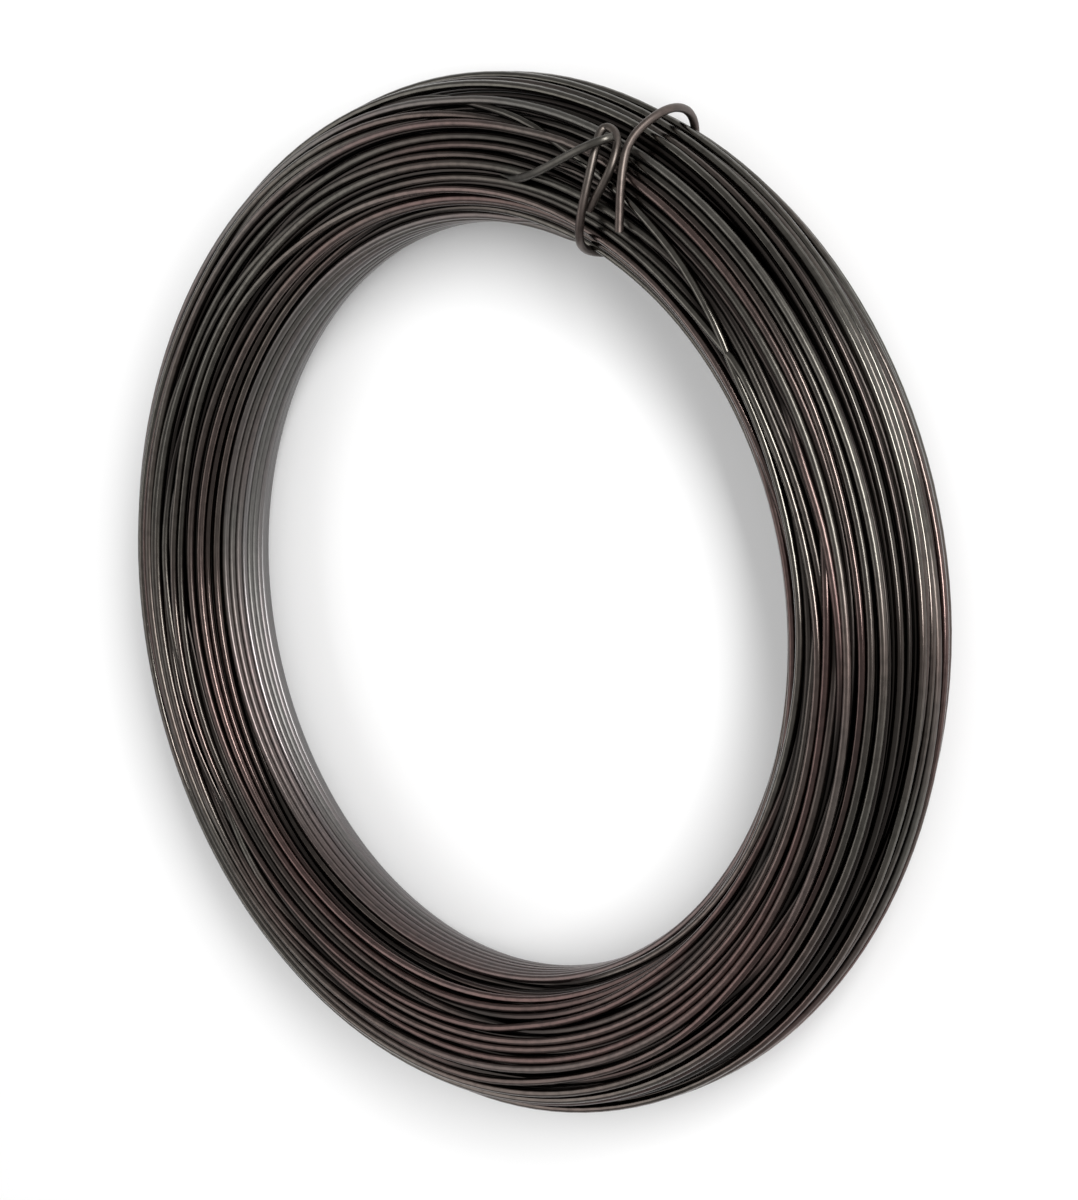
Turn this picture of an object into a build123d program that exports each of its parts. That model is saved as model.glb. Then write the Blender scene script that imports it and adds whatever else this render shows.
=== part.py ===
from build123d import *
import math
import os

# A coil of soft annealed wire, lying on its side with its axis upright.
# Lengths are in millimetres, the floor is at zero height and the tie is towards +X.

wire_diameter = 2.2     # the same wire makes the coil and its tie
bore_diameter = 202.0   # inside the innermost turns
outer_diameter = 280.0  # over the outermost turns
coil_height = 36.0      # from the floor to the highest turns
turn_pitch = 5.0        # spacing of the turns that stand proud of the loose winding
turn_relief = 1.6       # depth of the valley between two of them
turn_land = 0.8         # level width of the inner of the two turns that lie on the floor
seat_gap = 0.15         # between the tie and the turns it is pulled against
tie_bend = 4.5          # radius of the tie where it rounds the bundle
eye_bend = 2.6          # radius of the eye at the end of the tie
tie_span = 19.5         # length of coil over which the tie and the free end are bent
end_bend = 12.0         # radius where the free end of the coil lifts off

# Places on the upper end: outwards from the middle of the section by its half width,
# clockwise along the coil by the span of the tie, then the number of wires crossed over.
tie_tail_shares = [(-0.25, 0.62, 0.25), (0.38, 0.31, 0.55), (0.80, 0.10, 1.1)]
tie_rise_shares = [(-0.50, 0.04, 1.7), (0.42, -0.13, 1.0)]
tie_eye_shares = [(0.82, -0.34, 0.5), (0.82, -0.06, 0.5)]
tie_return_shares = [(0.42, 0.16, 0.6), (-0.26, 0.00, 0.0)]
free_end_shares = [(-0.34, -1.60, -1.6), (-0.20, -1.10, 0.2), (0.54, -0.18, 2.35), (0.74, 0.01, 2.0)]
tie_rim_along_share = -0.08   # clockwise place of the tie on the rim
tie_bore_along_share = -0.15  # and in the bore
rim_lift_share = 0.6          # how far the tie arches off the rim, in wire diameters
arch_up_share = 0.36          # height of that arch, by the half height
tie_drop_share = 0.32         # depth in the bore where the tie turns over, by the shorter half of the section
bend_limit_share = 0.26       # widest bend of the tie, by the same
eye_limit_share = 0.15        # widest bend of its eye, by the same
end_limit_share = 0.64        # widest bend of the free end, by the half width

wire_sides = 7  # flats that stand for the round of the wire

wire_radius = wire_diameter / 2
half_width = (outer_diameter - bore_diameter) / 4
mean_radius = (outer_diameter + bore_diameter) / 4
half_height = coil_height / 2
short_half = min(half_width, half_height)
flat_half = turn_pitch / 2
corner_width = half_width - flat_half
corner_height = half_height - flat_half
octagon_share = math.tan(math.pi / 8)
bend_limit = bend_limit_share * short_half
eye_limit = eye_limit_share * short_half


def place(out, along, up):
    """Point given outwards and upwards from the middle of the section, and clockwise along the coil."""
    turn = -along / mean_radius
    reach = mean_radius + out
    return Vector(reach * math.cos(turn), reach * math.sin(turn), half_height + up)


def end_height(out):
    """Height of the turns at the upper end above the middle of the section."""
    past = min(max(abs(out) - flat_half, 0) / corner_width, 1)
    return flat_half + corner_height * math.sqrt(1 - past**2)


def on_end(out_share, along_share, wires_share):
    """Centre of a wire lying on the upper end, over a number of other wires."""
    out = out_share * half_width
    lift = wire_radius + seat_gap + wires_share * (wire_diameter + seat_gap)
    return place(out, along_share * tie_span, end_height(out) + lift)


def wire_along(path):
    """Wire bent along a path."""
    return sweep(Plane(path @ 0, z_dir=path % 0) * RegularPolygon(wire_radius, wire_sides), path=path)


def turn_crests():
    """Crest of each turn round the section from the rim upwards, with half its level width along it."""
    arc = math.pi / 2 * math.hypot(corner_width, corner_height) / math.sqrt(2)
    gaps = round(arc / turn_pitch)
    rounds = [math.pi / 2 * step / gaps for step in range(1, gaps)]
    shoulder = [(flat_half + corner_width * math.cos(a), flat_half + corner_height * math.sin(a)) for a in rounds]
    floor_half = turn_land / 2
    rim = [(half_width, -flat_half, 0, 0), (half_width, flat_half, 0, 0)]
    upper = [(flat_half, half_height, 0, 0), (-flat_half, half_height, 0, 0)]
    bore = [(-half_width, 0, 0, -flat_half)]
    lower = [(-flat_half, -half_height, floor_half, 0), (flat_half, -half_height, 0, 0)]
    return (
        rim + [(u, v, 0, 0) for u, v in shoulder]
        + upper + [(-u, v, 0, 0) for u, v in reversed(shoulder)]
        + bore + [(-u, -v, 0, 0) for u, v in shoulder]
        + lower + [(u, -v, 0, 0) for u, v in reversed(shoulder)]
    )


def section_points():
    """Outline of the wound section, crest to valley to crest."""
    crests = turn_crests()
    points = []
    for (u, v, du, dv), (next_u, next_v, next_du, next_dv) in zip(crests, crests[1:] + crests[:1]):
        points += [(u - du, v - dv), (u + du, v + dv)] if du or dv else [(u, v)]
        run_u, run_v = next_u - next_du - u - du, next_v - next_dv - v - dv
        sink = turn_relief / math.hypot(run_u, run_v)
        points.append((u + du + run_u / 2 - sink * run_v, v + dv + run_v / 2 + sink * run_u))
    return points


# The tie: from its loose tail out over the rim, under the bundle, up through the bore
# and across the upper end to an eye that turns back beneath it.
proud = wire_radius + seat_gap
rim_out = half_width + proud + seat_gap
arch_out = rim_out + rim_lift_share * wire_diameter
rim_up = flat_half + octagon_share * (corner_height + proud)
bed_out = half_width - proud
bed_up = half_height - proud
bed_out_corner = flat_half + octagon_share * (corner_width - proud)
bed_up_corner = flat_half + octagon_share * (corner_height - proud)
rise_up = half_height - tie_drop_share * short_half
rim_spot = place(rim_out, tie_rim_along_share * tie_span, 0)
bore_spot = place(-bed_out, tie_bore_along_share * tie_span, 0)
bed_run = rim_spot - bore_spot
bed_plane = Plane(bore_spot, x_dir=bed_run, z_dir=bed_run.cross(Vector(0, 0, 1)))


def in_bed(out, up):
    """Point of the upright plane in which the tie passes under the bundle."""
    return bed_run.length * (out + bed_out) / (rim_out + bed_out), up


loop_points = [
    in_bed(arch_out, arch_up_share * half_height),
    in_bed(rim_out, -rim_up),
    in_bed(bed_out_corner, -bed_up),
    in_bed(-bed_out_corner, -bed_up),
    in_bed(-bed_out, -bed_up_corner),
    in_bed(-bed_out, rise_up),
]
tie_points = (
    [on_end(*row) for row in tie_tail_shares]
    + [bed_plane.from_local_coords((along, up, 0)) for along, up in loop_points]
    + [on_end(*row) for row in tie_rise_shares + tie_eye_shares + tie_return_shares]
)
eye_at = len(tie_points) - len(tie_return_shares) - len(tie_eye_shares)
tie_bends = [min(tie_bend, bend_limit)] * (len(tie_points) - 2)
tie_bends[eye_at - 1:eye_at + 1] = [min(eye_bend, eye_limit)] * 2
tie_path = FilletPolyline(*tie_points, radius=tie_bends)
tie_wire = wire_along(tie_path)

# The bed of the tie: the loose turns give way to it under the bundle and in the bore.
deep = wire_diameter + 3 * seat_gap
floor_out = half_width - deep
floor_up = half_height - deep
floor_out_corner = flat_half + octagon_share * (corner_width - deep)
floor_up_corner = flat_half + octagon_share * (corner_height - deep)
floor_rim_up = flat_half + octagon_share * (corner_height - seat_gap)
bed_points = [
    in_bed(-floor_out, rise_up),
    in_bed(-floor_out, -floor_up_corner),
    in_bed(-floor_out_corner, -floor_up),
    in_bed(floor_out_corner, -floor_up),
    in_bed(rim_out - proud, -floor_rim_up),
    in_bed(rim_out + proud, -floor_rim_up),
    in_bed(rim_out + proud, -half_height - proud),
    in_bed(-half_width - proud, -half_height - proud),
    in_bed(-half_width - proud, rise_up),
]
bed_slot = extrude(bed_plane * make_face(Polyline(*bed_points, close=True)), proud, both=True)

# The coil: one turned solid, with the bed of the tie and the free end of its wire.
section = make_face(Polyline(*[(-mean_radius - u, 0, half_height + v) for u, v in section_points()], close=True))
free_end_bend = min(end_bend, end_limit_share * half_width)
free_end_path = FilletPolyline(*[on_end(*row) for row in free_end_shares], radius=free_end_bend)
wire_coil = revolve(section, axis=Axis.Z) - bed_slot + wire_along(free_end_path)

os.makedirs("parts", exist_ok=True)
export_step(wire_coil.solid(), "parts/wire_coil.step")
export_step(tie_wire.solid(), "parts/tie_wire.step")
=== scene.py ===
"""A coil of soft annealed wire, lying on its side: the wound turns, their tie and the studio.

Lengths are in metres, in the frame of the part: the floor at zero height, the axis of the coil
upright and the tie towards +X.
"""

import logging
import math
from dataclasses import dataclass, field
from enum import Enum
from typing import ClassVar

import bpy
import numpy as np
from mathutils import Matrix, Vector


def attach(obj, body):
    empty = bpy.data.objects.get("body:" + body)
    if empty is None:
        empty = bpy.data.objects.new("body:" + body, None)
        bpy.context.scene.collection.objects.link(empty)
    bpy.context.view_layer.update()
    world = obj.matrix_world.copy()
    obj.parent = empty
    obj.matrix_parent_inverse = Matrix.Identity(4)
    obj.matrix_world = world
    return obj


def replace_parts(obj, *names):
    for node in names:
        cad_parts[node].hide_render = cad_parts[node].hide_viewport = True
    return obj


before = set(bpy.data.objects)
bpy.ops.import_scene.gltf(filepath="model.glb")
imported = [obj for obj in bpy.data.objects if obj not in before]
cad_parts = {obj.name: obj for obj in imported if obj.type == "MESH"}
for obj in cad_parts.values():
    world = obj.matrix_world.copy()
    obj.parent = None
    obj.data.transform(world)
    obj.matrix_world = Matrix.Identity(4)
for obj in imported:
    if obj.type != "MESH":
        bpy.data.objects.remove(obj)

MM = 0.001
BODY = "root"
IMAGE_WIDTH, IMAGE_HEIGHT = 1078, 1200  # pixels of the picture, the unit of the camera's focus

Colour = tuple[float, float, float]
Range = tuple[float, float]
Spot = tuple[float, float, float]  # place on the upper end, as Section.on_end takes it

log = logging.getLogger("coil_of_wire")


class Node(Enum):
    """Solids of the frame that the pieces of this scene stand for."""

    COIL = "wire_coil"
    TIE = "tie_wire"


class Course(Enum):
    """Stretch of the winding: the turns that line the bore, then the rest from the floor up."""

    BORE = "turns_bore"
    LOWER = "turns_lower"
    MIDDLE = "turns_middle"
    UPPER = "turns_upper"


class Slot(Enum):
    """Material slots of the part's record."""

    WIRE = "annealed_wire"


class Trait(Enum):
    """Values that follow the wire along its length, kept on its vertices."""

    TONE = "tone"
    POLISH = "polish"
    # wear of the wire, and painted shade on turns deep in the bundle
    RUB_AND_SHADE = "rub_and_shade"


def smooth_noise(count: int, knot_step: float, rng: np.random.Generator) -> np.ndarray:
    """Random values that change smoothly along a line.

    Args:
        count: Number of points on the line.
        knot_step: Points between two independent values.
        rng: Seeded source of the values.

    Returns:
        One value a point, spread about zero with a deviation near one.
    """
    knots = rng.normal(size=int(count / knot_step) + 5)
    at = np.arange(count) / knot_step + 1
    left = at.astype(int)
    share = at - left
    before, start, end, after = (knots[left + step] for step in (-1, 0, 1, 2))
    lift = (end - before) / 2
    fall = (after - start) / 2
    return (
        start * (1 + 2 * share) * (1 - share) ** 2
        + lift * share * (1 - share) ** 2
        + end * share**2 * (3 - 2 * share)
        + fall * share**2 * (share - 1)
    )


def rounded_path(corners: list[Vector], bends: list[float], steps: int) -> list[Vector]:
    """Path through corners, with each inner corner rounded off.

    Args:
        corners: Corners of the path, ends included.
        bends: Length taken off both legs at each inner corner.
        steps: Points on each bend.

    Returns:
        Points of the rounded path.
    """
    path = [corners[0]]
    for before, corner, after, bend in zip(corners, corners[1:], corners[2:], bends):
        back, ahead = before - corner, after - corner
        start = corner + back.normalized() * min(bend, back.length / 2)
        end = corner + ahead.normalized() * min(bend, ahead.length / 2)
        for step in range(steps + 1):
            share = step / steps
            path.append(start.lerp(corner, share).lerp(corner.lerp(end, share), share))
    return path + [corners[-1]]


def direction(azimuth: float, elevation: float) -> Vector:
    """Direction from the coil towards a light or the camera.

    Args:
        azimuth: Degrees anticlockwise from the tie.
        elevation: Degrees above the floor.

    Returns:
        The direction, of length one.
    """
    turn, lift = math.radians(azimuth), math.radians(elevation)
    across = math.cos(lift)
    return Vector((math.cos(turn) * across, math.sin(turn) * across, math.sin(lift)))


def keep_traits(mesh: bpy.types.Mesh, traits: dict[Trait, np.ndarray]) -> None:
    """Keeps the traits of a wire on its mesh.

    Args:
        mesh: Mesh of the wire.
        traits: Value of each trait at every vertex.
    """
    for trait, values in traits.items():
        kept = mesh.attributes.new(trait.value, "FLOAT", "POINT")
        kept.data.foreach_set("value", values.astype(np.float32))


def ranged(
    tree: bpy.types.NodeTree, value: bpy.types.NodeSocket, source: Range, target: Range
) -> bpy.types.NodeSocket:
    """Maps a value from one range to another, held at its ends.

    Args:
        tree: Tree that the node goes into.
        value: Socket that gives the value.
        source: Range that it is read in.
        target: Range that it is mapped to.

    Returns:
        Socket that gives the mapped value.
    """
    node = tree.nodes.new("ShaderNodeMapRange")
    labels = ("From Min", "From Max", "To Min", "To Max")
    for label, number in zip(labels, source + target):
        node.inputs[label].default_value = number
    tree.links.new(value, node.inputs["Value"])
    return node.outputs["Result"]


def mixed(
    tree: bpy.types.NodeTree,
    share: bpy.types.NodeSocket,
    first: bpy.types.NodeSocket,
    second: bpy.types.NodeSocket,
) -> bpy.types.NodeSocket:
    """Mixes two colours.

    Args:
        tree: Tree that the node goes into.
        share: Socket that gives the share of the second colour.
        first: Socket that gives the first colour.
        second: Socket that gives the second colour.

    Returns:
        Socket that gives the mixed colour.
    """
    node = tree.nodes.new("ShaderNodeMix")
    node.data_type = "RGBA"
    for socket, label in ((share, "Factor"), (first, "A"), (second, "B")):
        tree.links.new(socket, next(i for i in node.inputs if i.name == label and i.enabled))
    return next(o for o in node.outputs if o.enabled)


@dataclass
class Section:
    """Section through the wound bundle, with places given outwards and upwards from its middle."""

    wire_diameter: float = 2.2 * MM
    bore_diameter: float = 202.0 * MM  # inside the innermost turns
    outer_diameter: float = 280.0 * MM  # over the outermost turns
    coil_height: float = 36.0 * MM  # from the floor to the highest turns
    flat_half: float = 2.5 * MM  # half the straight run in the middle of each side
    seat_gap: float = 0.15 * MM  # between a wire and the one that it lies on
    wall_points: int = 120  # points that the wall of the bore is measured by

    @property
    def wire_radius(self) -> float:
        """Half the wire's diameter."""
        return self.wire_diameter / 2

    @property
    def half_width(self) -> float:
        """Half the bundle's thickness, measured outwards."""
        return (self.outer_diameter - self.bore_diameter) / 4

    @property
    def half_height(self) -> float:
        """Half the bundle's height."""
        return self.coil_height / 2

    @property
    def mean_radius(self) -> float:
        """Radius of the middle of the bundle."""
        return (self.outer_diameter + self.bore_diameter) / 4

    def end_height(self, out: float) -> float:
        """Height of the upper end above the middle of the section.

        Args:
            out: Place outwards from the middle.

        Returns:
            Height of the outline there.
        """
        past = min(max(abs(out) - self.flat_half, 0) / (self.half_width - self.flat_half), 1)
        return self.flat_half + (self.half_height - self.flat_half) * math.sqrt(1 - past**2)

    def place(self, out: float, along: float, up: float) -> Vector:
        """Point of the coil in space.

        Args:
            out: Outwards from the middle of the section.
            along: Clockwise along the coil from the tie.
            up: Upwards from the middle of the section.

        Returns:
            The point in the frame of the part.
        """
        turn = -along / self.mean_radius
        reach = self.mean_radius + out
        return Vector((reach * math.cos(turn), reach * math.sin(turn), self.half_height + up))

    def on_end(self, out_share: float, along_share: float, wires: float) -> Vector:
        """Centre of a wire that lies on the upper end.

        Args:
            out_share: Place outwards, by the half width.
            along_share: Place clockwise, by the half width.
            wires: Number of other wires that it lies over.

        Returns:
            The centre in the frame of the part.
        """
        out = out_share * self.half_width
        lift = self.wire_radius + self.seat_gap + wires * (self.wire_diameter + self.seat_gap)
        return self.place(out, along_share * self.half_width, self.end_height(out) + lift)

    def bore_side(self, low: float, high: float, spacing: float) -> np.ndarray:
        """Places wires side by side on the wall of the bore.

        Args:
            low: Angle down to which the lower rounded corner is lined.
            high: Angle up to which the upper rounded corner is lined.
            spacing: Distance from one wire to the next.

        Returns:
            Places in the section, from the lowest upwards.
        """
        corner = np.linspace(low, high, self.wall_points)
        level = np.sign(corner) * self.flat_half
        corner_width = self.half_width - self.wire_radius - self.flat_half
        corner_height = self.half_height - self.wire_radius - self.flat_half
        out = self.flat_half + corner_width * np.cos(corner)
        up = level + corner_height * np.sin(corner)
        wall = np.stack([-out, up], -1)
        run = np.concatenate([[0], np.cumsum(np.linalg.norm(np.diff(wall, axis=0), axis=1))])
        at = np.arange(int(run[-1] / spacing) + 1) * spacing
        return np.stack([np.interp(at, run, wall[:, axis]) for axis in range(2)], -1)

    def depth(self, places: np.ndarray) -> np.ndarray:
        """Depth of places below the outline.

        Args:
            places: Places in the section, outwards and upwards.

        Returns:
            About how deep each lies.
        """
        limits = np.array([self.half_width, self.half_height]) - self.flat_half
        past = np.maximum(np.abs(places) - self.flat_half, 0)
        return (1 - np.linalg.norm(past / limits, axis=-1)) * limits.mean()

    def held(self, places: np.ndarray, inset: np.ndarray) -> np.ndarray:
        """Moves places that lie outside the outline back onto it.

        Args:
            places: Places in the section, outwards and upwards.
            inset: Distance that each keeps from the outline.

        Returns:
            The places, all inside.
        """
        limits = np.stack([self.half_width - inset, self.half_height - inset], -1) - self.flat_half
        size = np.abs(places)
        past = np.maximum(size - self.flat_half, 0)
        reach = np.maximum(np.linalg.norm(past / limits, axis=-1, keepdims=True), 1)
        return np.sign(places) * (np.minimum(size, self.flat_half) + past / reach)


@dataclass
class FreeEnd:
    """The end of the wire, which climbs out of the winding and lies over the tie."""

    section: Section
    shares: tuple[Spot, ...] = (
        (-0.34, -1.60, -1.6),
        (-0.20, -1.10, 0.2),
        (0.54, -0.18, 2.35),
        (0.74, 0.01, 2.0),
    )
    bend: float = 10.0 * MM  # length that a bend takes off both its legs
    bend_steps: int = 8
    root_turn_share: float = 0.1  # last share of a turn, which dips under its neighbours
    root_depth: float = 3.2 * MM  # how deep it dips

    @property
    def root_along(self) -> float:
        """Place along the coil where the end leaves the winding."""
        return self.shares[0][1] * self.section.half_width

    @property
    def root_place(self) -> tuple[float, float]:
        """Place in the section where the end leaves the winding."""
        out = self.shares[0][0] * self.section.half_width
        return out, self.section.on_end(*self.shares[0]).z - self.section.half_height

    def path(self, start: Vector) -> list[Vector]:
        """Leads the end out of the winding.

        Args:
            start: Last point of the winding.

        Returns:
            Points of the centre line after that point, up to the tip.
        """
        corners = [start] + [self.section.on_end(*row) for row in self.shares]
        return rounded_path(corners, [self.bend] * (len(corners) - 2), self.bend_steps)[1:]


@dataclass
class Winding:
    """Path of the one wire through all its turns.

    The first turns line the bore side by side. The others are laid in rows from the floor up,
    stray from them as loose wire does, and are then pushed apart until they lie beside and over
    each other.
    """

    section: Section
    free_end: FreeEnd
    turns: int = 200
    stations: int = 144  # points on each turn
    lining_low: float = math.radians(-62)  # reach of the lining round the bore's lower corner
    lining_high: float = math.radians(26)  # and round its upper corner
    lining_spacing_share: float = 0.98  # by the wire's diameter, as are the shares of the rows
    lining_stray: float = 0.16 * MM
    row_pitch_share: float = 1.3  # widest spacing tried in the rows
    row_tightening: float = 0.995  # from one spacing tried to the next
    row_overhang_share: float = 0.25  # how far a turn may be laid past the outline
    stray: float = 1.5 * MM
    stray_turn_share: float = 0.3  # share of a turn over which a stray changes
    stray_spread: float = 0.75  # how unlike the strays of different turns are
    sink: float = 0.9 * MM  # how far turns lie below the outline, as a usual value
    sink_turn_share: float = 0.6  # share of a turn over which that changes
    tie_dent: float = 2.65 * MM  # depth to which the tie presses in
    tie_dent_half: float = 11.0 * MM  # length of coil, to each side, that gives way to it
    tie_rise_share: float = 0.68  # height in the bore where it leaves, by the half height
    passes: int = 150  # rounds of pushing apart
    refresh: int = 10  # rounds between two searches for neighbours
    neighbours: int = 10
    push: float = 0.4  # share of an overlap that one round takes away
    ease: float = 0.35  # share of a kink that is then straightened
    ease_rounds: int = 2
    least_gap: float = 1e-9  # keeps two turns in one place from a division by zero
    seed: int = 7
    rng: np.random.Generator = field(init=False)

    def __post_init__(self) -> None:
        """Starts the seeded source of chance."""
        self.rng = np.random.default_rng(self.seed)

    @property
    def count(self) -> int:
        """Points on the whole wire."""
        return self.turns * self.stations

    def angles(self) -> np.ndarray:
        """Angle of every point of the wire about the coil's axis, clockwise from the free end."""
        start = -self.free_end.root_along / self.section.mean_radius
        return start - 2 * math.pi * np.arange(self.count) / self.stations

    def lining(self) -> np.ndarray:
        """Places of the turns that line the bore, one for each turn."""
        spacing = self.lining_spacing_share * self.section.wire_diameter
        return self.section.bore_side(self.lining_low, self.lining_high, spacing)

    def rows(self, turns: int) -> np.ndarray:
        """Lays turns in level rows, each shifted by half a wire from the row below.

        Args:
            turns: Number of turns to lay.

        Returns:
            One place in the section for each turn, in the order of winding.
        """
        section = self.section
        overhang = self.row_overhang_share * section.wire_diameter
        lowest, highest = section.wire_radius - section.half_height, section.half_height - overhang
        first = -section.half_width + section.wire_diameter
        pitch = self.row_pitch_share * section.wire_diameter
        while True:
            steps = np.arange(first, section.half_width, pitch)
            places = []
            for row, level in enumerate(np.arange(lowest, highest, pitch * math.sqrt(3) / 2)):
                line = np.stack([steps + (row % 2) * pitch / 2, np.full(len(steps), level)], -1)
                inside = section.held(line, np.full(len(line), section.wire_radius))
                kept = line[np.linalg.norm(inside - line, axis=-1) < overhang]
                places += list(kept if row % 2 else kept[::-1])
            if len(places) >= turns:
                return np.array(places[-turns:])
            pitch *= self.row_tightening

    def strayed(self) -> np.ndarray:
        """Leads the wire from row to row and lets it stray.

        Returns:
            Places of all points of the wire, not yet clear of each other.
        """
        lining = self.lining()
        rows = self.rows(self.turns - len(lining))
        ends = np.concatenate([lining, rows, [self.free_end.root_place]])
        share = (np.arange(self.count) % self.stations / self.stations)[:, None]
        turn = np.arange(self.count) // self.stations
        led = ends[turn] * (1 - share) + ends[turn + 1] * share
        step = self.stray_turn_share * self.stations
        loose = np.stack([smooth_noise(self.count, step, self.rng) for _ in range(2)], -1)
        spread = np.exp(self.stray_spread * smooth_noise(self.count, self.stations, self.rng))
        reach = np.where(turn < len(lining) - 1, self.lining_stray, self.stray * spread)
        return led + reach[:, None] * loose

    def dents(self) -> np.ndarray:
        """Depth to which the tie presses the lower end and the bore in, at every point."""
        along = -((self.angles() + math.pi) % (2 * math.pi) - math.pi) * self.section.mean_radius
        return self.tie_dent * np.exp(-((along / self.tie_dent_half) ** 2))

    def insets(self, dents: np.ndarray, lined: int) -> np.ndarray:
        """Lets the turns lie below the outline, each as loosely as chance has it.

        Args:
            dents: Depth to which the tie presses in at every point.
            lined: Number of points on the wall of the bore.

        Returns:
            Distance that every point keeps from the outline.
        """
        step = self.sink_turn_share * self.stations
        slack = np.abs(smooth_noise(self.count, step, self.rng))
        insets = self.section.wire_radius + self.sink * slack * (1 - dents / self.tie_dent)
        insets[:lined] = self.section.wire_radius
        insets[-int(self.free_end.root_turn_share * self.stations) :] = self.free_end.root_depth
        return insets

    def nearest(self, rings: np.ndarray) -> np.ndarray:
        """Finds the turns that lie next to each turn.

        Args:
            rings: Places by station and turn.

        Returns:
            Numbers of the neighbours by station and turn.
        """
        found = []
        for ring in rings:
            far = ((ring[:, None] - ring[None]) ** 2).sum(-1)
            np.fill_diagonal(far, np.inf)
            found.append(np.argpartition(far, self.neighbours, axis=1)[:, : self.neighbours])
        return np.array(found)

    def overlaps(self, rings: np.ndarray, near: np.ndarray) -> tuple[np.ndarray, np.ndarray]:
        """Measures how far each turn runs into its neighbours.

        Args:
            rings: Places by station and turn.
            near: Numbers of the neighbours by station and turn.

        Returns:
            Directions away from the neighbours, and the overlaps.
        """
        station = np.arange(self.stations)[:, None, None]
        apart = rings[:, :, None] - rings[station, near]
        gap = np.linalg.norm(apart, axis=-1, keepdims=True) + self.least_gap
        return apart / gap, np.maximum(self.section.wire_diameter - gap, 0)

    def settled(self) -> np.ndarray:
        """Pushes the turns apart, within the bundle's outline and clear of the tie.

        Returns:
            Places of all points of the wire, outwards and upwards from the middle of the section.
        """
        places = self.strayed()
        lined = (len(self.lining()) - 1) * self.stations
        wall = places[:lined].copy()
        dents = self.dents()
        insets = self.insets(dents, lined)
        low_limit = -self.section.half_height + self.section.wire_radius + dents
        bore_limit = -self.section.half_width + self.section.wire_radius + dents
        rise_up = self.tie_rise_share * self.section.half_height
        for number in range(self.passes):
            rings = places.reshape(self.turns, self.stations, 2).transpose(1, 0, 2)
            if number % self.refresh == 0:
                near = self.nearest(rings)
            away, short = self.overlaps(rings, near)
            moved = rings + self.push * (away * short).sum(2)
            places = moved.transpose(1, 0, 2).reshape(-1, 2)
            for _ in range(self.ease_rounds):
                middle = (places[:-2] + places[2:]) / 2
                places[1:-1] += self.ease * (middle - places[1:-1])
            places[:lined] = wall
            places = self.section.held(places, insets)
            places[:, 1] = np.maximum(places[:, 1], low_limit)
            beside_tie = np.where(places[:, 1] < rise_up, bore_limit, -np.inf)
            places[:, 0] = np.maximum(places[:, 0], beside_tie)
        log.info("turns overlap by %.2f mm where they meet", short[short > 0].mean() / MM)
        return places


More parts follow.
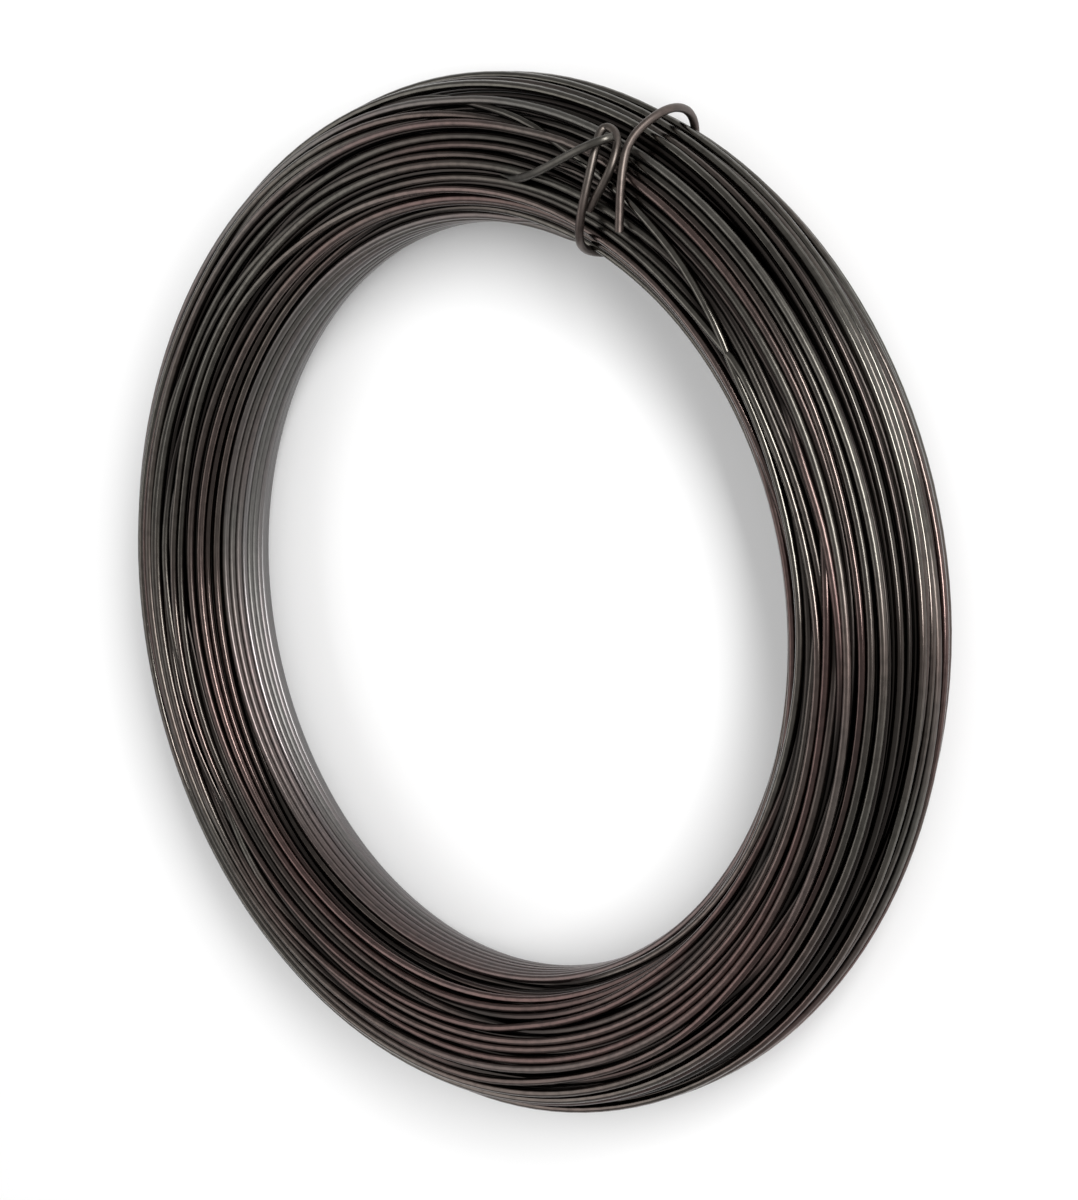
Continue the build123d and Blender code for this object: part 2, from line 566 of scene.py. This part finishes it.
@dataclass(frozen=True)
class OxideFinish:
    """Dark oxide that annealing leaves on drawn steel wire.

    Its hue goes from umber to slate with the tone of the wire, in bands, and drifts across the
    coil. Where the rub is below plain the wire darkens towards soot: real soot at random, and
    painted shade on turns that lie deep in the bundle. Where the rub is above plain it is worn
    bare.
    """

    GROUP: ClassVar[str] = "annealed_oxide"
    PLAIN_RUB: ClassVar[float] = 0.5  # neither darkened by soot and painted shade nor worn
    FULL: ClassVar[Range] = (0.0, 1.0)
    BAND_NOISE: ClassVar[Range] = (0.3, 0.7)  # part of the noise that makes the bands
    BAND_SHIFT: ClassVar[Range] = (-0.45, 0.45)  # and how far they shift the tone
    MOTTLE_NOISE: ClassVar[Range] = (0.42, 0.72)  # part of the noise that makes the mottle
    MOTTLE_STAIN: ClassVar[Range] = (0.0, 0.4)  # and how much soot it adds
    MOTTLE_DETAIL: ClassVar[float] = 3.0

    name: str
    umber: Colour = (0.116, 0.076, 0.070)
    slate: Colour = (0.098, 0.092, 0.081)
    # The dark colour below serves two causes: real sooty stains in the mottle, and painted shade
    # on turns that lie deep in the bundle.
    soot_and_shade: Colour = (0.028, 0.024, 0.022)
    bare: Colour = (0.235, 0.235, 0.236)
    rough_dull: float = 0.45
    rough_bright: float = 0.15
    mottle_scale: float = 420.0
    band_scale: float = 14.0
    drift: tuple[float, float, float] = (-0.6, -2.4, 0.0)  # towards umber, by the metre
    grain_depth: float = 0.04 * MM
    grain_strength: float = 0.12

    @classmethod
    def group(cls) -> bpy.types.NodeTree:
        """Builds the shared group that turns a wire's traits into its colour, roughness and grain.

        Returns:
            The node group, built once.
        """
        known = bpy.data.node_groups.get(cls.GROUP)
        if known:
            return known
        tree = bpy.data.node_groups.new(cls.GROUP, "ShaderNodeTree")
        for label, kind in (
            ("Tone", "NodeSocketFloat"),
            ("Polish", "NodeSocketFloat"),
            ("Rub And Shade", "NodeSocketFloat"),
            ("Umber", "NodeSocketColor"),
            ("Slate", "NodeSocketColor"),
            ("Soot And Shade", "NodeSocketColor"),
            ("Bare", "NodeSocketColor"),
            ("Rough Dull", "NodeSocketFloat"),
            ("Rough Bright", "NodeSocketFloat"),
            ("Mottle Scale", "NodeSocketFloat"),
            ("Band Scale", "NodeSocketFloat"),
            ("Drift", "NodeSocketVector"),
        ):
            tree.interface.new_socket(name=label, in_out="INPUT", socket_type=kind)
        for label, kind in (
            ("Color", "NodeSocketColor"),
            ("Roughness", "NodeSocketFloat"),
            ("Height", "NodeSocketFloat"),
        ):
            tree.interface.new_socket(name=label, in_out="OUTPUT", socket_type=kind)
        add, link = tree.nodes.new, tree.links.new
        given, made = add("NodeGroupInput").outputs, add("NodeGroupOutput").inputs
        place = add("ShaderNodeTexCoord").outputs["Object"]

        mottle = add("ShaderNodeTexNoise")
        mottle.inputs["Detail"].default_value = cls.MOTTLE_DETAIL
        link(place, mottle.inputs["Vector"])
        link(given["Mottle Scale"], mottle.inputs["Scale"])
        band = add("ShaderNodeTexNoise")
        link(place, band.inputs["Vector"])
        link(given["Band Scale"], band.inputs["Scale"])

        drift = add("ShaderNodeVectorMath")
        drift.operation = "DOT_PRODUCT"
        link(place, drift.inputs[0])
        link(given["Drift"], drift.inputs[1])
        banded = add("ShaderNodeMath")
        link(given["Tone"], banded.inputs[0])
        link(ranged(tree, band.outputs["Fac"], cls.BAND_NOISE, cls.BAND_SHIFT), banded.inputs[1])
        tone = add("ShaderNodeMath")
        tone.operation = "SUBTRACT"
        tone.use_clamp = True
        link(banded.outputs["Value"], tone.inputs[0])
        link(drift.outputs["Value"], tone.inputs[1])

        stain = ranged(tree, mottle.outputs["Fac"], cls.MOTTLE_NOISE, cls.MOTTLE_STAIN)
        # Rub below plain darkens the wire towards the dark colour: real soot at random, and
        # painted shade on deep turns.
        clean_and_unshaded = ranged(tree, given["Rub And Shade"], (0.0, cls.PLAIN_RUB), cls.FULL)
        wear = ranged(tree, given["Rub And Shade"], (cls.PLAIN_RUB, 1.0), cls.FULL)
        hue = mixed(tree, tone.outputs["Value"], given["Umber"], given["Slate"])
        stained = mixed(tree, stain, hue, given["Soot And Shade"])
        sooty_and_shaded = mixed(tree, clean_and_unshaded, given["Soot And Shade"], stained)
        link(mixed(tree, wear, sooty_and_shaded, given["Bare"]), made["Color"])

        gloss = add("ShaderNodeMix")
        link(given["Polish"], gloss.inputs["Factor"])
        link(given["Rough Dull"], gloss.inputs["A"])
        link(given["Rough Bright"], gloss.inputs["B"])
        link(gloss.outputs["Result"], made["Roughness"])
        link(mottle.outputs["Fac"], made["Height"])
        return tree

    def material(self) -> bpy.types.Material:
        """Builds the material.

        Returns:
            A material that reads the wire's traits from the piece that wears it.
        """
        material = bpy.data.materials.new(self.name)
        material.use_nodes = True
        tree = material.node_tree
        shader = tree.nodes["Principled BSDF"]
        shader.inputs["Metallic"].default_value = 1.0
        oxide = tree.nodes.new("ShaderNodeGroup")
        oxide.node_tree = self.group()
        for label, trait in (("Tone", Trait.TONE), ("Polish", Trait.POLISH), ("Rub And Shade", Trait.RUB_AND_SHADE)):
            source = tree.nodes.new("ShaderNodeAttribute")
            source.attribute_name = trait.value
            tree.links.new(source.outputs["Fac"], oxide.inputs[label])
        for label, value in (
            ("Umber", (*self.umber, 1.0)),
            ("Slate", (*self.slate, 1.0)),
            ("Soot And Shade", (*self.soot_and_shade, 1.0)),
            ("Bare", (*self.bare, 1.0)),
            ("Rough Dull", self.rough_dull),
            ("Rough Bright", self.rough_bright),
            ("Mottle Scale", self.mottle_scale),
            ("Band Scale", self.band_scale),
            ("Drift", self.drift),
        ):
            oxide.inputs[label].default_value = value
        grain = tree.nodes.new("ShaderNodeBump")
        grain.inputs["Strength"].default_value = self.grain_strength
        grain.inputs["Distance"].default_value = self.grain_depth
        tree.links.new(oxide.outputs["Color"], shader.inputs["Base Color"])
        tree.links.new(oxide.outputs["Roughness"], shader.inputs["Roughness"])
        tree.links.new(oxide.outputs["Height"], grain.inputs["Height"])
        tree.links.new(grain.outputs["Normal"], shader.inputs["Normal"])
        return material


@dataclass
class WireCoil:
    """The wound turns, one wire from its hidden start to its free end."""

    section: Section
    winding: Winding
    material: bpy.types.Material
    sides: int = 10  # faces round the wire
    tone_turns: float = 0.8  # turns over which the tone changes
    tone_middle: float = 0.5
    tone_spread: float = 0.5
    polish_turns: float = 0.35  # turns over which the polish and the rub change
    polish_middle: float = 0.72
    polish_spread: float = 0.25
    lining_polish: float = 0.3
    free_polish: float = 0.2
    surface_rub: float = OxideFinish.PLAIN_RUB
    lining_rub: float = 1.0
    rub_spread: float = 0.1
    shade_depth: float = 1.8 * MM  # depth over which turns deep in the bundle darken towards the soot colour, as painted shade
    shade_start: float = 0.2  # depth where that starts, by the same
    break_turns: int = 3  # turns within which a course may end
    strip_margin: float = 0.05  # free edge of a turn's strip in the layout, by its width
    cap_spot: float = 0.001  # place of the cut ends in the layout

    def centre_line(self, places: np.ndarray) -> np.ndarray:
        """Runs the wire through its turns and on to its free end.

        Args:
            places: Places of the turns in the section.

        Returns:
            Points of the centre line in the frame of the part.
        """
        angles = self.winding.angles()
        reach = self.section.mean_radius + places[:, 0]
        up = self.section.half_height + places[:, 1]
        turns = np.stack([reach * np.cos(angles), reach * np.sin(angles), up], -1)
        return np.concatenate([turns, np.array(self.winding.free_end.path(Vector(turns[-1])))])

    def traits(self, places: np.ndarray, count: int) -> dict[Trait, np.ndarray]:
        """Works out what the oxide looks like along the wire, with painted shade on the turns that
        lie deep.

        Args:
            places: Places of the turns in the section.
            count: Points on the whole wire.

        Returns:
            Values of each trait at every point.
        """
        stations, rng = self.winding.stations, self.winding.rng
        # Painted shade: the deeper a turn lies below the outline, the lower its rub and the darker
        # its finish.
        below = (self.section.depth(places) - self.section.wire_radius) / self.shade_depth
        rub_and_shade = np.full(count, self.surface_rub)
        rub_and_shade[: len(places)] *= np.clip(1 + self.shade_start - below, 0, 1)
        lined = len(self.winding.lining()) * stations
        rub_and_shade[:lined] = np.linspace(self.lining_rub, self.surface_rub, lined)
        rub_and_shade *= 1 + self.rub_spread * smooth_noise(count, self.polish_turns * stations, rng)
        change = smooth_noise(count, self.tone_turns * stations, rng)
        tone = self.tone_middle + self.tone_spread * change
        polish = np.full(count, self.polish_middle)
        polish[:lined] = self.lining_polish
        polish += self.polish_spread * smooth_noise(count, self.polish_turns * stations, rng)
        polish[len(places) :] = self.free_polish
        values = {Trait.TONE: tone, Trait.POLISH: polish, Trait.RUB_AND_SHADE: rub_and_shade}
        return {trait: np.clip(value, 0, 1) for trait, value in values.items()}

    def skin(self, line: np.ndarray) -> np.ndarray:
        """Sets a ring of vertices round every point of a level-running line.

        Args:
            line: Points of the centre line.

        Returns:
            Vertices by point and side.
        """
        ahead = np.gradient(line, axis=0)
        ahead /= np.linalg.norm(ahead, axis=1, keepdims=True)
        outward = np.cross(ahead, [0.0, 0.0, 1.0])
        outward /= np.linalg.norm(outward, axis=1, keepdims=True)
        upward = np.cross(outward, ahead)
        turn = 2 * math.pi * np.arange(self.sides) / self.sides
        out, up = (share[None, :, None] for share in (np.cos(turn), np.sin(turn)))
        ring = out * outward[:, None] + up * upward[:, None]
        return line[:, None] + self.section.wire_radius * ring

    def piece(
        self, course: Course, skin: np.ndarray, traits: dict[Trait, np.ndarray]
    ) -> bpy.types.Object:
        """Joins a run of turns into one piece.

        Args:
            course: Stretch of the winding, which names the piece.
            skin: Vertices of the run, by point and side.
            traits: Values of each trait at every point of the run.

        Returns:
            The finished piece.
        """
        rings, sides = len(skin), self.sides
        at, side = np.meshgrid(np.arange(rings - 1), np.arange(sides), indexing="ij")
        beside = (side + 1) % sides
        corner_at = np.stack([at, at + 1, at + 1, at], -1)
        corner_side = np.stack([side, side, beside, beside], -1)
        quads = (corner_at * sides + corner_side).reshape(-1, 4)
        last = (rings - 1) * sides
        caps = [list(range(sides)), list(reversed(range(last, last + sides)))]
        mesh = bpy.data.meshes.new(course.value)
        mesh.from_pydata(skin.reshape(-1, 3).tolist(), [], quads.tolist() + caps)
        keep_traits(mesh, {trait: np.repeat(values, sides) for trait, values in traits.items()})
        mesh.polygons.foreach_set("use_smooth", np.arange(len(mesh.polygons)) < len(quads))
        self.lay_out(mesh, at.ravel(), side.ravel())
        mesh.materials.append(self.material)
        piece = bpy.data.objects.new(course.value, mesh)
        bpy.context.scene.collection.objects.link(piece)
        return piece

    def lay_out(self, mesh: bpy.types.Mesh, at: np.ndarray, side: np.ndarray) -> None:
        """Unrolls the run into strips, one for each turn.

        Args:
            mesh: Mesh of the run.
            at: Point of the run at which each face starts.
            side: Side of the wire of each face.
        """
        stations = self.winding.stations
        turn = at // stations
        width = 1 - 2 * self.strip_margin
        across = width * (side[:, None] + np.array([0, 0, 1, 1])) / self.sides
        left = (at % stations / stations)[:, None] + np.array([0, 1, 1, 0]) / stations
        row = turn[:, None] + self.strip_margin + across
        strips = np.stack([left, row / (turn.max() + 1)], -1).reshape(-1, 2)
        caps = np.full((2 * self.sides, 2), self.cap_spot)
        layer = mesh.uv_layers.new(name="OFBake")
        layer.uv.foreach_set("vector", np.concatenate([strips, caps]).astype(np.float32).ravel())

    def breaks(self, places: np.ndarray) -> list[int]:
        """Picks where one course ends and the next begins, deep in the winding and out of sight.

        Args:
            places: Places of the turns in the section.

        Returns:
            Number of the first point of every course but the first.
        """
        stations, lined = self.winding.stations, len(self.winding.lining())
        later = len(Course) - 1
        run = (self.winding.turns - lined) // later
        depth = self.section.depth(places)
        reach = self.break_turns * stations
        firsts = [(lined + run * number) * stations for number in range(later)]
        return [first + int(np.argmax(depth[first : first + reach])) for first in firsts]

    def build(self) -> list[bpy.types.Object]:
        """Builds all courses and lets them stand for the solid.

        Returns:
            The pieces, in the order of winding.
        """
        places = self.winding.settled()
        line = self.centre_line(places)
        skin = self.skin(line)
        traits = self.traits(places, len(line))
        starts = [0] + self.breaks(places)
        pieces = []
        for course, start, end in zip(Course, starts, starts[1:] + [len(line) - 1]):
            run = slice(start, end + 1)
            run_traits = {trait: values[run] for trait, values in traits.items()}
            piece = self.piece(course, skin[run], run_traits)
            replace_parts(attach(piece, BODY), Node.COIL.value)
            pieces.append(piece)
        return pieces


@dataclass
class TieWire:
    """The tie: one wire round the bundle, with an eye bent round the coil's free end."""

    section: Section
    material: bpy.types.Material
    tail_shares: tuple[Spot, ...] = ((-0.25, 0.62, 0.25), (0.38, 0.31, 0.55), (0.80, 0.10, 1.1))
    rise_shares: tuple[Spot, ...] = ((-0.50, 0.04, 1.7), (0.42, -0.13, 1.0))
    eye_shares: tuple[Spot, ...] = ((0.75, -0.34, 0.5), (0.75, -0.06, 0.5))
    return_shares: tuple[Spot, ...] = ((0.42, 0.16, 0.6), (-0.26, 0.00, 0.0))
    rim_along_share: float = -0.02  # clockwise place on the rim, by the half width
    arch_along_share: float = 0.14  # at the top of the arch
    bore_along_share: float = -0.15  # and in the bore
    rim_lift_share: float = 1.6  # how far the arch stands off the rim, in wire diameters
    arch_up_share: float = 0.36  # its height, by the half height
    rise_share: float = 0.68  # height in the bore where the tie turns over, by the same
    bend: float = 9.0 * MM  # length that a bend takes off both its legs
    bend_steps: int = 10
    bevel_steps: int = 4  # which gives the wire 12 faces round
    merge_gap: float = 0.001 * MM  # between vertices that are made one
    smooth_angle: float = math.radians(50)
    tone: float = 0.25
    polish: float = 0.1
    rub_and_shade: float = OxideFinish.PLAIN_RUB

    def corners(self) -> list[Vector]:
        """Leads the tie over the rim, under the bundle, up the bore and on to its eye.

        Returns:
            Corners of the path, from the loose tail to the end behind the eye.
        """
        section = self.section
        proud = section.wire_radius + section.seat_gap
        octagon = math.tan(math.pi / 8)
        rise_width = section.half_width - section.flat_half
        rise_height = section.half_height - section.flat_half
        rim_out = section.half_width + proud + section.seat_gap
        rim_up = section.flat_half + octagon * (rise_height + proud)
        arch_out = rim_out + self.rim_lift_share * section.wire_diameter
        arch_along = self.arch_along_share * section.half_width
        bed_out, bed_up = section.half_width - proud, section.half_height - proud
        bed_out_corner = section.flat_half + octagon * (rise_width - proud)
        bed_up_corner = section.flat_half + octagon * (rise_height - proud)
        rim = section.place(rim_out, self.rim_along_share * section.half_width, 0)
        bore = section.place(-bed_out, self.bore_along_share * section.half_width, 0)

        def under(out: float, up: float) -> Vector:
            """Point of the upright plane in which the tie passes under the bundle."""
            return bore.lerp(rim, (out + bed_out) / (rim_out + bed_out)) + Vector((0, 0, up))

        loop = [
            section.place(arch_out, arch_along, self.arch_up_share * section.half_height),
            under(rim_out, -rim_up),
            under(bed_out_corner, -bed_up),
            under(-bed_out_corner, -bed_up),
            under(-bed_out, -bed_up_corner),
            under(-bed_out, self.rise_share * section.half_height),
        ]
        tail = [section.on_end(*row) for row in self.tail_shares]
        ahead = self.rise_shares + self.eye_shares + self.return_shares
        return tail + loop + [section.on_end(*row) for row in ahead]

    def bent(self) -> bpy.types.Object:
        """Bends a round wire along the corners.

        Returns:
            The wire as a curve, selected and active.
        """
        corners = self.corners()
        path = rounded_path(corners, [self.bend] * (len(corners) - 2), self.bend_steps)
        bpy.ops.object.select_all(action="DESELECT")
        bpy.ops.curve.primitive_bezier_curve_add()
        piece = bpy.context.object
        piece.name = Node.TIE.value + "_bent"
        piece.location = (0, 0, 0)
        curve = piece.data
        curve.splines.clear()
        spline = curve.splines.new("POLY")
        spline.points.add(len(path) - 1)
        for point, place in zip(spline.points, path):
            point.co = (*place, 1.0)
        curve.twist_mode = "MINIMUM"
        curve.bevel_depth = self.section.wire_radius
        curve.bevel_resolution = self.bevel_steps
        curve.use_fill_caps = True
        return piece

    def build(self) -> bpy.types.Object:
        """Makes the bent wire a mesh, dresses it and lets it stand for the solid.

        Returns:
            The finished piece.
        """
        piece = self.bent()
        bpy.ops.object.convert(target="MESH")
        bpy.ops.object.mode_set(mode="EDIT")
        bpy.ops.mesh.select_all(action="SELECT")
        bpy.ops.mesh.remove_doubles(threshold=self.merge_gap)
        bpy.ops.mesh.normals_make_consistent(inside=False)
        bpy.ops.object.mode_set(mode="OBJECT")
        bpy.ops.object.shade_smooth_by_angle(angle=self.smooth_angle)
        values = {Trait.TONE: self.tone, Trait.POLISH: self.polish, Trait.RUB_AND_SHADE: self.rub_and_shade}
        count = len(piece.data.vertices)
        keep_traits(piece.data, {trait: np.full(count, value) for trait, value in values.items()})
        piece.data.materials.append(self.material)
        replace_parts(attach(piece, BODY), Node.TIE.value)
        return piece


@dataclass(frozen=True)
class Softbox:
    """A rectangular light that looks at the coil."""

    name: str
    azimuth: float  # in degrees, as is the elevation
    elevation: float
    distance: float
    width: float
    height: float
    power: float  # in watts

    def build(self, target: Vector) -> bpy.types.Object:
        """Hangs the light.

        Args:
            target: Point that it looks at.

        Returns:
            The light.
        """
        back = direction(self.azimuth, self.elevation)
        lamp = bpy.data.lights.new(self.name, "AREA")
        lamp.shape = "RECTANGLE"
        lamp.size, lamp.size_y, lamp.energy = self.width, self.height, self.power
        light = bpy.data.objects.new(self.name, lamp)
        turned = back.to_track_quat("Z", "Y").to_matrix().to_4x4()
        light.matrix_world = Matrix.Translation(target + self.distance * back) @ turned
        bpy.context.scene.collection.objects.link(light)
        return light


@dataclass
class Studio:
    """Pale floor, soft light and the camera."""

    target: Vector
    floor_size: float = 8.0
    floor_grey: float = 0.86
    floor_roughness: float = 0.9
    floor_specular: float = 0.1
    sky: Colour = (1.0, 1.0, 1.0)
    sky_strength: float = 0.5
    boxes: tuple[Softbox, ...] = (
        Softbox("key_softbox", -42.0, 34.0, 1.5, 1.2, 0.36, 32.0),
        Softbox("back_softbox", 129.0, 47.0, 1.6, 1.8, 0.8, 7.2),
    )
    view_azimuth: float = -51.1  # in degrees, as are the elevation and the roll
    view_elevation: float = 47.3
    view_roll: float = -100.6
    view_aim: tuple[float, float] = (11.0 * MM, 0.0)  # off the target, to the right and up
    view_distance: float = 701.0 * MM
    view_focus: float = 2600.0  # in pixels of the picture
    sensor: float = 36.0  # in millimetres, as the lens is

    def floor(self) -> bpy.types.Object:
        """Lays the floor under the coil.

        Returns:
            The floor.
        """
        bpy.ops.object.select_all(action="DESELECT")
        bpy.ops.mesh.primitive_plane_add(size=self.floor_size)
        floor = bpy.context.object
        floor.name = "studio_floor"
        paint = bpy.data.materials.new("pale_floor")
        paint.use_nodes = True
        shader = paint.node_tree.nodes["Principled BSDF"]
        shader.inputs["Base Color"].default_value = (self.floor_grey,) * 3 + (1.0,)
        shader.inputs["Roughness"].default_value = self.floor_roughness
        shader.inputs["Specular IOR Level"].default_value = self.floor_specular
        floor.data.materials.append(paint)
        return floor

    def light(self) -> None:
        """Sets the sky and hangs the softboxes."""
        world = bpy.data.worlds.new("studio_sky")
        world.use_nodes = True
        sky = world.node_tree.nodes["Background"]
        sky.inputs["Color"].default_value = (*self.sky, 1.0)
        sky.inputs["Strength"].default_value = self.sky_strength
        bpy.context.scene.world = world
        bpy.context.scene.view_settings.view_transform = "Standard"
        for box in self.boxes:
            box.build(self.target)

    def camera(self) -> bpy.types.Object:
        """Sets up the camera.

        Returns:
            The camera, which is the scene's.
        """
        back = direction(self.view_azimuth, self.view_elevation)
        roll = math.radians(self.view_roll)
        level = Vector((0, 0, 1)).cross(back).normalized()
        upright = back.cross(level)
        right = math.cos(roll) * level + math.sin(roll) * upright
        up = back.cross(right)
        lens = bpy.data.cameras.new("view")
        lens.sensor_width = self.sensor
        lens.lens = self.view_focus * self.sensor / max(IMAGE_WIDTH, IMAGE_HEIGHT)
        camera = bpy.data.objects.new("view", lens)
        turned = Matrix((right, up, back)).transposed().to_4x4()
        aim = self.target + self.view_aim[0] * right + self.view_aim[1] * up
        camera.matrix_world = Matrix.Translation(aim + self.view_distance * back) @ turned
        bpy.context.scene.collection.objects.link(camera)
        bpy.context.scene.camera = camera
        return camera


def main() -> None:
    """Builds the coil, its tie and the studio, and notes the sizes."""
    logging.basicConfig(level=logging.INFO, format="%(name)s: %(message)s")
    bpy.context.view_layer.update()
    section = Section()
    wire = OxideFinish("annealed_wire").material()
    pieces = WireCoil(section, Winding(section, FreeEnd(section)), wire).build()
    pieces.append(TieWire(section, wire).build())
    for piece in pieces:
        log.info("%s: %d faces", piece.name, len(piece.data.polygons))
    studio = Studio(Vector((0, 0, section.half_height)))
    studio.floor()
    studio.light()
    studio.camera()


if __name__ == "__main__":
    main()
